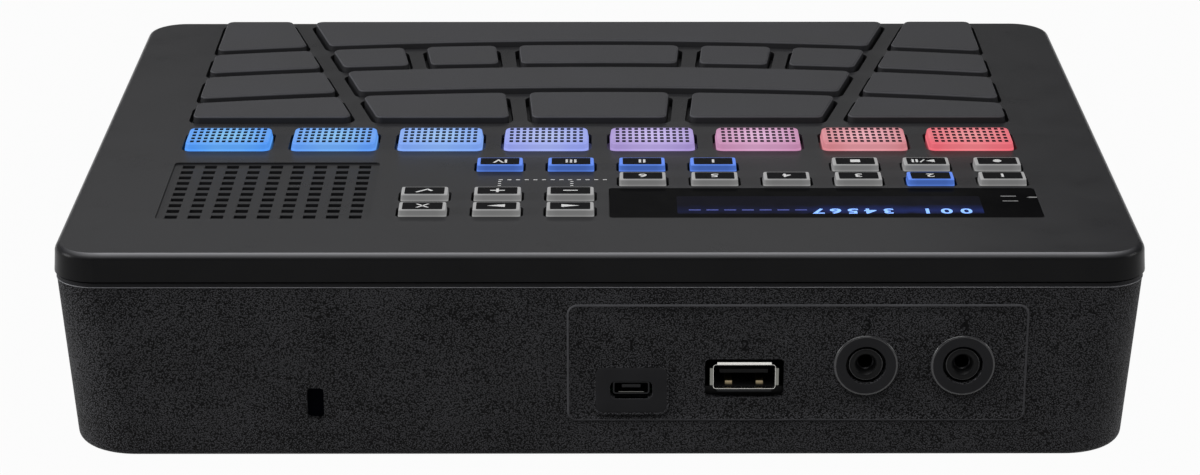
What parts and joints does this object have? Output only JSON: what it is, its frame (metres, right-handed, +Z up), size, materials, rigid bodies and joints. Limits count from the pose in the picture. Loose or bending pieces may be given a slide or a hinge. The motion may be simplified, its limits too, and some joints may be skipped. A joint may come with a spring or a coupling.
{
  "type": "drum machine",
  "caption": "Desktop drum machine: wide tapered case, bowed rows of playing pads, a row of lit pads, small buttons, a display window, a speaker grille and rear sockets.",
  "frame": {"origin": "centre of the footprint, on the surface that the feet stand on", "axes": "+X towards the player's right, +Y towards the connectors in the rear wall, +Z up out of the cover"},
  "size_m": [0.233, 0.18, 0.0517],
  "materials": {
    "cover": "fine matt black plastic",
    "case": "leather-grained black plastic",
    "pad": "soft matt rubber",
    "button_grey": "satin translucent plastic, unlit",
    "button_blue": "satin translucent plastic, lit blue",
    "window": "polished black acrylic",
    "circuit_board": "green solder mask",
    "display": "display glass on a thin frame",
    "connector_metal": "nickel-plated steel",
    "connector_plastic": "black moulded plastic",
    "speaker": "black paper cone in a steel basket",
    "battery": "shrink film over cells",
    "foot": "soft rubber",
    "screw": "zinc-plated steel",
    "wheel": "knurled black plastic",
    "power_key": "black plastic",
    "lit_1": "translucent silicone, lit from below",
    "lit_2": "translucent silicone, lit from below",
    "lit_3": "translucent silicone, lit from below",
    "lit_4": "translucent silicone, lit from below",
    "lit_5": "translucent silicone, lit from below",
    "lit_6": "translucent silicone, lit from below",
    "lit_7": "translucent silicone, lit from below",
    "lit_8": "translucent silicone, lit from below"
  },
  "bodies": {
    "housing": {"top_cover": "cover", "bottom_case": "case", "display_window": "window", "display_module": "display", "control_board": "circuit_board", "main_board": "circuit_board", "speaker_driver": "speaker", "battery_pack": "battery", "usb_a_port": "connector_metal", "micro_usb_port": "connector_metal", "jack_sockets": "connector_plastic", "rubber_feet": "foot", "case_screws": "screw"},
    "pad_1": {"pad_1": "pad"},
    "pad_2": {"pad_2": "pad"},
    "pad_3": {"pad_3": "pad"},
    "pad_4": {"pad_4": "pad"},
    "pad_5": {"pad_5": "pad"},
    "pad_6": {"pad_6": "pad"},
    "pad_7": {"pad_7": "pad"},
    "pad_8": {"pad_8": "pad"},
    "pad_9": {"pad_9": "pad"},
    "pad_10": {"pad_10": "pad"},
    "pad_11": {"pad_11": "pad"},
    "pad_12": {"pad_12": "pad"},
    "pad_13": {"pad_13": "pad"},
    "pad_14": {"pad_14": "pad"},
    "pad_15": {"pad_15": "pad"},
    "pad_16": {"pad_16": "pad"},
    "pad_17": {"pad_17": "pad"},
    "pad_18": {"pad_18": "pad"},
    "lit_pad_1": {"lit_pad_1": "lit_1"},
    "lit_pad_2": {"lit_pad_2": "lit_2"},
    "lit_pad_3": {"lit_pad_3": "lit_3"},
    "lit_pad_4": {"lit_pad_4": "lit_4"},
    "lit_pad_5": {"lit_pad_5": "lit_5"},
    "lit_pad_6": {"lit_pad_6": "lit_6"},
    "lit_pad_7": {"lit_pad_7": "lit_7"},
    "lit_pad_8": {"lit_pad_8": "lit_8"},
    "button_1": {"button_1": "button_grey"},
    "button_2": {"button_2": "button_grey"},
    "button_3": {"button_3": "button_grey"},
    "button_4": {"button_4": "button_blue"},
    "button_5": {"button_5": "button_blue"},
    "button_6": {"button_6": "button_blue"},
    "button_7": {"button_7": "button_blue"},
    "button_8": {"button_8": "button_grey"},
    "button_9": {"button_9": "button_blue"},
    "button_10": {"button_10": "button_grey"},
    "button_11": {"button_11": "button_grey"},
    "button_12": {"button_12": "button_grey"},
    "button_13": {"button_13": "button_grey"},
    "button_14": {"button_14": "button_grey"},
    "button_15": {"button_15": "button_grey"},
    "button_16": {"button_16": "button_grey"},
    "button_17": {"button_17": "button_grey"},
    "button_18": {"button_18": "button_grey"},
    "button_19": {"button_19": "button_grey"},
    "power_button": {"power_button": "power_key"},
    "volume_wheel": {"volume_wheel": "wheel"}
  },
  "joints": [
    {"name": "pad_1_press", "type": "slide", "parent": "housing", "child": "pad_1", "axis": [0, 0, -1], "range_m": [0, 0.0006], "stiffness_N_per_m": 2500},
    {"name": "pad_2_press", "type": "slide", "parent": "housing", "child": "pad_2", "axis": [0, 0, -1], "range_m": [0, 0.0006], "stiffness_N_per_m": 2500},
    {"name": "pad_3_press", "type": "slide", "parent": "housing", "child": "pad_3", "axis": [0, 0, -1], "range_m": [0, 0.0006], "stiffness_N_per_m": 2500},
    {"name": "pad_4_press", "type": "slide", "parent": "housing", "child": "pad_4", "axis": [0, 0, -1], "range_m": [0, 0.0006], "stiffness_N_per_m": 2500},
    {"name": "pad_5_press", "type": "slide", "parent": "housing", "child": "pad_5", "axis": [0, 0, -1], "range_m": [0, 0.0006], "stiffness_N_per_m": 2500},
    {"name": "pad_6_press", "type": "slide", "parent": "housing", "child": "pad_6", "axis": [0, 0, -1], "range_m": [0, 0.0006], "stiffness_N_per_m": 2500},
    {"name": "pad_7_press", "type": "slide", "parent": "housing", "child": "pad_7", "axis": [0, 0, -1], "range_m": [0, 0.0006], "stiffness_N_per_m": 2500},
    {"name": "pad_8_press", "type": "slide", "parent": "housing", "child": "pad_8", "axis": [0, 0, -1], "range_m": [0, 0.0006], "stiffness_N_per_m": 2500},
    {"name": "pad_9_press", "type": "slide", "parent": "housing", "child": "pad_9", "axis": [0, 0, -1], "range_m": [0, 0.0006], "stiffness_N_per_m": 2500},
    {"name": "pad_10_press", "type": "slide", "parent": "housing", "child": "pad_10", "axis": [0, 0, -1], "range_m": [0, 0.0006], "stiffness_N_per_m": 2500},
    {"name": "pad_11_press", "type": "slide", "parent": "housing", "child": "pad_11", "axis": [0, 0, -1], "range_m": [0, 0.0006], "stiffness_N_per_m": 2500},
    {"name": "pad_12_press", "type": "slide", "parent": "housing", "child": "pad_12", "axis": [0, 0, -1], "range_m": [0, 0.0006], "stiffness_N_per_m": 2500},
    {"name": "pad_13_press", "type": "slide", "parent": "housing", "child": "pad_13", "axis": [0, 0, -1], "range_m": [0, 0.0006], "stiffness_N_per_m": 2500},
    {"name": "pad_14_press", "type": "slide", "parent": "housing", "child": "pad_14", "axis": [0, 0, -1], "range_m": [0, 0.0006], "stiffness_N_per_m": 2500},
    {"name": "pad_15_press", "type": "slide", "parent": "housing", "child": "pad_15", "axis": [0, 0, -1], "range_m": [0, 0.0006], "stiffness_N_per_m": 2500},
    {"name": "pad_16_press", "type": "slide", "parent": "housing", "child": "pad_16", "axis": [0, 0, -1], "range_m": [0, 0.0006], "stiffness_N_per_m": 2500},
    {"name": "pad_17_press", "type": "slide", "parent": "housing", "child": "pad_17", "axis": [0, 0, -1], "range_m": [0, 0.0006], "stiffness_N_per_m": 2500},
    {"name": "pad_18_press", "type": "slide", "parent": "housing", "child": "pad_18", "axis": [0, 0, -1], "range_m": [0, 0.0006], "stiffness_N_per_m": 2500},
    {"name": "lit_pad_1_press", "type": "slide", "parent": "housing", "child": "lit_pad_1", "axis": [0, 0, -1], "range_m": [0, 0.0005], "stiffness_N_per_m": 2000},
    {"name": "lit_pad_2_press", "type": "slide", "parent": "housing", "child": "lit_pad_2", "axis": [0, 0, -1], "range_m": [0, 0.0005], "stiffness_N_per_m": 2000},
    {"name": "lit_pad_3_press", "type": "slide", "parent": "housing", "child": "lit_pad_3", "axis": [0, 0, -1], "range_m": [0, 0.0005], "stiffness_N_per_m": 2000},
    {"name": "lit_pad_4_press", "type": "slide", "parent": "housing", "child": "lit_pad_4", "axis": [0, 0, -1], "range_m": [0, 0.0005], "stiffness_N_per_m": 2000},
    {"name": "lit_pad_5_press", "type": "slide", "parent": "housing", "child": "lit_pad_5", "axis": [0, 0, -1], "range_m": [0, 0.0005], "stiffness_N_per_m": 2000},
    {"name": "lit_pad_6_press", "type": "slide", "parent": "housing", "child": "lit_pad_6", "axis": [0, 0, -1], "range_m": [0, 0.0005], "stiffness_N_per_m": 2000},
    {"name": "lit_pad_7_press", "type": "slide", "parent": "housing", "child": "lit_pad_7", "axis": [0, 0, -1], "range_m": [0, 0.0005], "stiffness_N_per_m": 2000},
    {"name": "lit_pad_8_press", "type": "slide", "parent": "housing", "child": "lit_pad_8", "axis": [0, 0, -1], "range_m": [0, 0.0005], "stiffness_N_per_m": 2000},
    {"name": "button_1_press", "type": "slide", "parent": "housing", "child": "button_1", "axis": [0, 0, -1], "range_m": [0, 0.0005], "stiffness_N_per_m": 1500},
    {"name": "button_2_press", "type": "slide", "parent": "housing", "child": "button_2", "axis": [0, 0, -1], "range_m": [0, 0.0005], "stiffness_N_per_m": 1500},
    {"name": "button_3_press", "type": "slide", "parent": "housing", "child": "button_3", "axis": [0, 0, -1], "range_m": [0, 0.0005], "stiffness_N_per_m": 1500},
    {"name": "button_4_press", "type": "slide", "parent": "housing", "child": "button_4", "axis": [0, 0, -1], "range_m": [0, 0.0005], "stiffness_N_per_m": 1500},
    {"name": "button_5_press", "type": "slide", "parent": "housing", "child": "button_5", "axis": [0, 0, -1], "range_m": [0, 0.0005], "stiffness_N_per_m": 1500},
    {"name": "button_6_press", "type": "slide", "parent": "housing", "child": "button_6", "axis": [0, 0, -1], "range_m": [0, 0.0005], "stiffness_N_per_m": 1500},
    {"name": "button_7_press", "type": "slide", "parent": "housing", "child": "button_7", "axis": [0, 0, -1], "range_m": [0, 0.0005], "stiffness_N_per_m": 1500},
    {"name": "button_8_press", "type": "slide", "parent": "housing", "child": "button_8", "axis": [0, 0, -1], "range_m": [0, 0.0005], "stiffness_N_per_m": 1500},
    {"name": "button_9_press", "type": "slide", "parent": "housing", "child": "button_9", "axis": [0, 0, -1], "range_m": [0, 0.0005], "stiffness_N_per_m": 1500},
    {"name": "button_10_press", "type": "slide", "parent": "housing", "child": "button_10", "axis": [0, 0, -1], "range_m": [0, 0.0005], "stiffness_N_per_m": 1500},
    {"name": "button_11_press", "type": "slide", "parent": "housing", "child": "button_11", "axis": [0, 0, -1], "range_m": [0, 0.0005], "stiffness_N_per_m": 1500},
    {"name": "button_12_press", "type": "slide", "parent": "housing", "child": "button_12", "axis": [0, 0, -1], "range_m": [0, 0.0005], "stiffness_N_per_m": 1500},
    {"name": "button_13_press", "type": "slide", "parent": "housing", "child": "button_13", "axis": [0, 0, -1], "range_m": [0, 0.0005], "stiffness_N_per_m": 1500},
    {"name": "button_14_press", "type": "slide", "parent": "housing", "child": "button_14", "axis": [0, 0, -1], "range_m": [0, 0.0005], "stiffness_N_per_m": 1500},
    {"name": "button_15_press", "type": "slide", "parent": "housing", "child": "button_15", "axis": [0, 0, -1], "range_m": [0, 0.0005], "stiffness_N_per_m": 1500},
    {"name": "button_16_press", "type": "slide", "parent": "housing", "child": "button_16", "axis": [0, 0, -1], "range_m": [0, 0.0005], "stiffness_N_per_m": 1500},
    {"name": "button_17_press", "type": "slide", "parent": "housing", "child": "button_17", "axis": [0, 0, -1], "range_m": [0, 0.0005], "stiffness_N_per_m": 1500},
    {"name": "button_18_press", "type": "slide", "parent": "housing", "child": "button_18", "axis": [0, 0, -1], "range_m": [0, 0.0005], "stiffness_N_per_m": 1500},
    {"name": "button_19_press", "type": "slide", "parent": "housing", "child": "button_19", "axis": [0, 0, -1], "range_m": [0, 0.0005], "stiffness_N_per_m": 1500},
    {"name": "power_button_press", "type": "slide", "parent": "housing", "child": "power_button", "axis": [-1, 0, 0], "range_m": [0, 0.0006], "stiffness_N_per_m": 1500},
    {"name": "volume_wheel_turn", "type": "hinge", "parent": "housing", "child": "volume_wheel", "pos_m": [0.1072, 0.051, 0.0224], "axis": [0, 0, 1], "range_deg": [0, 280]}
  ]
}
